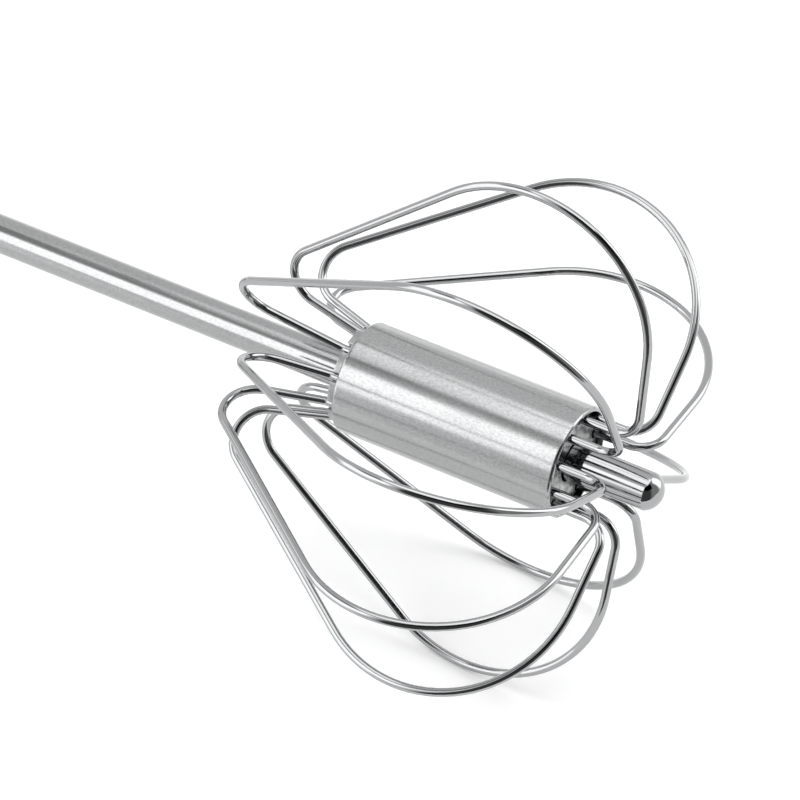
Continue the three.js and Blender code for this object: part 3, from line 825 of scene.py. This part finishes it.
wire_finish, tree, shader = new_finish(
    "stainless spring wire, drawn and polished", Base_Color=linear("#A3A4A5"), Metallic=1, Roughness=0.1
)
straight = add(tree, "Attribute", attribute_name="straight").outputs["Vector"]
lines = add(tree, "Mapping", {"Vector": straight, "Scale": (DRAW_LINE_LENGTH, DRAW_LINE, DRAW_LINE)},
            vector_type="TEXTURE")
lines = add(tree, "TexNoise", {"Vector": lines.outputs["Vector"], "Scale": 1, "Detail": 1})
bump = add(tree, "Bump", {"Height": lines.outputs["Fac"], "Strength": 1, "Distance": DRAW_LINE_DEPTH})
marks = add(tree, "TexNoise", {"Vector": on_the_whisk(tree, [HANDLING_MARK] * 3), "Scale": 1, "Detail": 3})
marks = add(tree, "MapRange", {
    "Value": marks.outputs["Fac"], "From Min": 0.35, "From Max": 0.75, "To Min": 0.04, "To Max": 0.1,
})
tree.links.new(marks.outputs["Result"], shader.inputs["Roughness"])
tree.links.new(bump.outputs["Normal"], shader.inputs["Normal"])

# %% [markdown]
# ## Brushed and satin tube
# Sleeve, shaft and handle are welded stainless tube, finished with a fine abrasive belt that runs along
# them. To the eye that gives soft-edged streaks of light along the tube, with hair lines in them, and a
# slow change in gloss where the belt pressed harder. Under the hair lines the metal's own grain shows as
# a faint speckle.

# %% Finish of the tubes
# The belt's lines are a few hundredths of a millimetre apart and the metal's grain is finer still. Both
# are finer than a pixel here, so the lines given for each tube and this grain are drawn wider.
GRAIN = 0.2 * MM
BELT_LINE_LENGTH = 12 * MM
BELT_WEAR = 2.5 * MM
BELT_LINE_DEPTH = 0.002 * MM


def belt_finish(name, colours, line, gloss_from, gloss_to):
    finish, tree, shader = new_finish(name, Base_Color=linear(colours[0]), Metallic=1, Roughness=gloss_from)
    lines = add(tree, "TexNoise", {
        "Vector": on_the_whisk(tree, (BELT_LINE_LENGTH, line, line)), "Scale": 1, "Detail": 2,
    })
    bump = add(tree, "Bump", {"Height": lines.outputs["Fac"], "Strength": 1, "Distance": BELT_LINE_DEPTH})
    wear = add(tree, "TexNoise", {
        "Vector": on_the_whisk(tree, (4 * BELT_WEAR, BELT_WEAR, BELT_WEAR)), "Scale": 1, "Detail": 4,
    })
    wear = add(tree, "MapRange", {
        "Value": wear.outputs["Fac"], "From Min": 0.3, "From Max": 0.7,
        "To Min": gloss_from, "To Max": gloss_to,
    })
    grain = add(tree, "TexNoise", {
        "Vector": on_the_whisk(tree, (2 * GRAIN, GRAIN, GRAIN)), "Scale": 1, "Detail": 2, "Roughness": 0.7,
    })
    grain = add(tree, "MapRange", {"Value": grain.outputs["Fac"], "From Min": 0.3, "From Max": 0.7})
    tint = add(tree, "MixRGB", {
        "Fac": grain.outputs["Result"], "Color1": linear(colours[0]), "Color2": linear(colours[1]),
    })
    tree.links.new(tint.outputs["Color"], shader.inputs["Base Color"])
    tree.links.new(wear.outputs["Result"], shader.inputs["Roughness"])
    tree.links.new(bump.outputs["Normal"], shader.inputs["Normal"])
    return finish


sleeve_finish = belt_finish("stainless tube, finely brushed", ("#999A9B", "#AEAFAF"), 0.16 * MM, 0.15, 0.22)
tube_finish = belt_finish("stainless tube, satin", ("#98999A", "#A8A9A9"), 0.12 * MM, 0.1, 0.17)

# %% [markdown]
# ## Turned steel
# The discs, ferrule, cap, nut and washer come from a lathe, which leaves fine rings round the axis on
# flat faces and round the sides alike. A noise that reads only the place along the axis and the
# distance from it is constant round the axis, so it draws exactly those rings. They spread a highlight
# into a fan. Nobody polishes these pieces again, so patches of them are duller and darker than the rest.

# %% Finish of the turned pieces
TOOL_MARK = 0.2 * MM
TOOL_MARK_DEPTH = 0.002 * MM
DULL_PATCH = 1.2 * MM
CLEAN_STEEL = linear("#A7A8A8")
DULL_STEEL = linear("#909192")

turned_finish, tree, shader = new_finish(
    "stainless steel, turned and polished", Base_Color=CLEAN_STEEL, Metallic=1, Roughness=0.2
)
place = on_the_whisk(tree, [TOOL_MARK] * 3)
from_axis = add(tree, "VectorMath", {0: place, 1: (0, 1, 1)}, operation="MULTIPLY")
from_axis = add(tree, "VectorMath", {0: from_axis.outputs["Vector"]}, operation="LENGTH")
along_axis = add(tree, "SeparateXYZ", {"Vector": place})
rings = add(tree, "CombineXYZ", {"X": along_axis.outputs["X"], "Y": from_axis.outputs["Value"]})
rings = add(tree, "TexNoise", {"Vector": rings.outputs["Vector"], "Scale": 1, "Detail": 1})
bump = add(tree, "Bump", {"Height": rings.outputs["Fac"], "Strength": 1, "Distance": TOOL_MARK_DEPTH})
tree.links.new(bump.outputs["Normal"], shader.inputs["Normal"])
dull = add(tree, "TexNoise", {"Vector": on_the_whisk(tree, [DULL_PATCH] * 3), "Scale": 1, "Detail": 4})
roughness = add(tree, "MapRange", {
    "Value": dull.outputs["Fac"], "From Min": 0.35, "From Max": 0.7, "To Min": 0.22, "To Max": 0.44,
})
darker = add(tree, "MapRange", {"Value": dull.outputs["Fac"], "From Min": 0.35, "From Max": 0.7})
tint = add(tree, "MixRGB", {"Fac": darker.outputs["Result"], "Color1": CLEAN_STEEL, "Color2": DULL_STEEL})
tree.links.new(roughness.outputs["Result"], shader.inputs["Roughness"])
tree.links.new(tint.outputs["Color"], shader.inputs["Base Color"])

# %% [markdown]
# ## Spring steel and nylon
# Spring, strip and strip pin are bare spring steel with the grey scale of its heat treatment, which
# comes in patches that differ in gloss and in how blue they are. The bush is natural nylon, milky and a
# little see-through, with the soft unevenness of a moulding. Neither is seen unless the handle is open.

# %% Finish of the spring and of the bush
SCALE_PATCH = 1.5 * MM
MOULD_PATCH = 0.8 * MM
MOULD_DEPTH = 0.02 * MM

spring_finish, tree, shader = new_finish(
    "spring steel, tempered", Base_Color=linear("#8A8C8F"), Metallic=1, Roughness=0.32
)
scale = add(tree, "TexNoise", {"Vector": on_the_whisk(tree, [SCALE_PATCH] * 3), "Scale": 1, "Detail": 5})
tint = add(tree, "MixRGB", {
    "Fac": scale.outputs["Fac"], "Color1": linear("#7C7F84"), "Color2": linear("#9A9A97"),
})
tree.links.new(tint.outputs["Color"], shader.inputs["Base Color"])
scale = add(tree, "MapRange", {"Value": scale.outputs["Fac"], "To Min": 0.22, "To Max": 0.45})
tree.links.new(scale.outputs["Result"], shader.inputs["Roughness"])

nylon_finish, tree, shader = new_finish(
    "nylon, natural, moulded", Base_Color=linear("#E4E2DA"), Roughness=0.5, IOR=1.53,
    Subsurface_Weight=0.2, Subsurface_Scale=1 * MM,
)
uneven = add(tree, "TexNoise", {"Vector": on_the_whisk(tree, [MOULD_PATCH] * 3), "Scale": 1, "Detail": 3})
bump = add(tree, "Bump", {"Height": uneven.outputs["Fac"], "Strength": 1, "Distance": MOULD_DEPTH})
tree.links.new(bump.outputs["Normal"], shader.inputs["Normal"])
tint = add(tree, "MixRGB", {
    "Fac": uneven.outputs["Fac"], "Color1": linear("#DEDCD2"), "Color2": linear("#EAE8E2"),
})
tree.links.new(tint.outputs["Color"], shader.inputs["Base Color"])

# %% [markdown]
# ## Which piece gets which finish
# A parts list names a finish for each piece, and so does the frame's record, in its material slots. The
# pieces were collected under those names as they were made, so one loop can hand out the finishes.

# %% Give each piece its finish
finish_of_slot = {
    "polished_wire": wire_finish,
    "brushed_sleeve": sleeve_finish,
    "satin_tube": tube_finish,
    "turned_steel": turned_finish,
    "spring_steel": spring_finish,
    "nylon": nylon_finish,
}
for slot, pieces in pieces_of_finish.items():
    for piece in pieces:
        piece.data.materials.clear()
        piece.data.materials.append(finish_of_slot[slot])
    print(len(pieces), "pieces of", finish_of_slot[slot].name)

# %% [markdown]
# ## The studio
# Polished metal has hardly any look of its own: it is a picture of the room. So the room is made with
# care, as soft-edged areas of light on the world around the whisk. A long softbox in front on the left
# and another behind on the right give the broad bright bands. A panel overhead and the dim ceiling
# beside it give the band along the top of the tubes and its dark edge. The dark side of the room, the
# camera and a black cloth give the wires their black lines, and a white wall beyond the handle keeps
# the underside of the shaft pale.
# An area is faced first, by its bearing and height. Its edges are then given as angles to the left and
# right of that direction, and below and above it. Later areas cover earlier ones. The lens itself sees
# plain white past the board, as in a photograph whose background was burnt out.

# %% Paint the studio on the world
WALLS = 1.0
DARK_ROOM = 0.085
# Bearing and height faced, left, right, lower and upper edge, softness of the edges, and brightness.
AREAS_OF_LIGHT = {
    "dim wall behind the tip": (355, 28, -40, 34, -40, 40, 8, 0.4),
    "dark side of the room": (300, 16, -44, 38, -56, 56, 8, DARK_ROOM),
    "camera and its stand": (292, 53, -20, 18, -13, 12, 4, 0),
    "black cloth beside it": (335, 52, -18, 18, -14, 14, 4, 0),
    "dim gap over the long softbox": (270, 66, -60, -18, -14, 14, 4, 0.75),
    "white wall beyond the handle": (270, -8, -60, -23, -26, 16, 3, 1.45),
    "dim ceiling beside the panel": (270, 84, -60, -28.5, -17, 12, 3, 0.42),
    "panel overhead": (270, 99, -28, 22, -20, 19, 2, 2.3),
    "side of the long softbox": (270, 33, -30, -12, -45, 30, 5, 1.0),
    "long softbox in front on the left": (270, 33, -66, -20, -21, 24, 5, 2.8),
    "lower end of the long softbox": (222, 0, -14, 17, -12, 16, 4, 2.5),
    "far end of the long softbox": (192, 30, -10, 18, -10, 10, 4, 2.5),
    "softbox behind on the right": (50, 20, -15, 15, -32, 32, 5, 3.1),
}

world = bpy.data.worlds.new("studio")
bpy.context.scene.world = world
world.use_nodes = True
tree = world.node_tree
direction = add(tree, "TexCoord").outputs["Generated"]
brightness = WALLS
for name, (bearing, height, left, right, low, high, soft, level) in AREAS_OF_LIGHT.items():
    faced = add(tree, "Mapping", {
        "Vector": direction, "Rotation": (0, radians(-height), radians(bearing)),
    }, vector_type="TEXTURE", label=name)
    faced = add(tree, "SeparateXYZ", {"Vector": faced.outputs["Vector"]})
    inside = 1
    for axis, start, end in (("Y", left, right), ("Z", low, high)):
        angle = add(tree, "Math", {0: faced.outputs[axis], 1: faced.outputs["X"]}, operation="ARCTAN2")
        for edge, sign in ((start, 1), (end, -1)):
            passed = add(tree, "MapRange", {
                "Value": angle.outputs["Value"], "To Min": 0, "To Max": 1,
                "From Min": radians(edge - sign * soft), "From Max": radians(edge + sign * soft),
            }, interpolation_type="SMOOTHSTEP")
            inside = add(tree, "Math", {0: inside, 1: passed.outputs["Result"]}, operation="MULTIPLY")
            inside = inside.outputs["Value"]
    brightness = add(tree, "Mix", {
        "Factor": inside, "A": brightness, "B": level,
    }, data_type="FLOAT", label=name).outputs["Result"]
seen = add(tree, "LightPath").outputs["Is Camera Ray"]
brightness = add(tree, "Mix", {"Factor": seen, "A": brightness, "B": 1.0}, data_type="FLOAT")
background = tree.nodes["Background"]
background.inputs["Color"].default_value = (1, 1, 1, 1)
tree.links.new(brightness.outputs["Result"], background.inputs["Strength"])
bpy.context.scene.view_settings.view_transform = "Standard"
print(len(AREAS_OF_LIGHT), "areas of light, the brightest", max(area[-1] for area in AREAS_OF_LIGHT.values()))

# %% [markdown]
# ## The floor
# The whisk lies on a matt white acrylic board that is lit a little from below as well, so bright that
# the picture burns out round it and only the faintest shadows stay. The board's front edge is just
# outside the picture: what the lower sides of the wires reflect there is the dark room, which draws
# their dark lines.

# %% Lay the board
BOARD_SIZE = 6
BOARD_FRONT = -0.075

start_fresh()
bpy.ops.mesh.primitive_plane_add(size=BOARD_SIZE, location=(0, BOARD_FRONT + BOARD_SIZE / 2, 0))
bpy.ops.object.transform_apply()
board = bpy.context.object
board.name = "board"
board_finish, tree, shader = new_finish(
    "white acrylic board, matt, lit from below", Base_Color=linear("#FBFBFB"), Roughness=0.8,
    Emission_Color=linear("#FFFFFF"), Emission_Strength=0.15,
)
board.data.materials.append(board_finish)
print("the board is", BOARD_SIZE, "m wide and starts", -BOARD_FRONT, "m in front of the whisk")
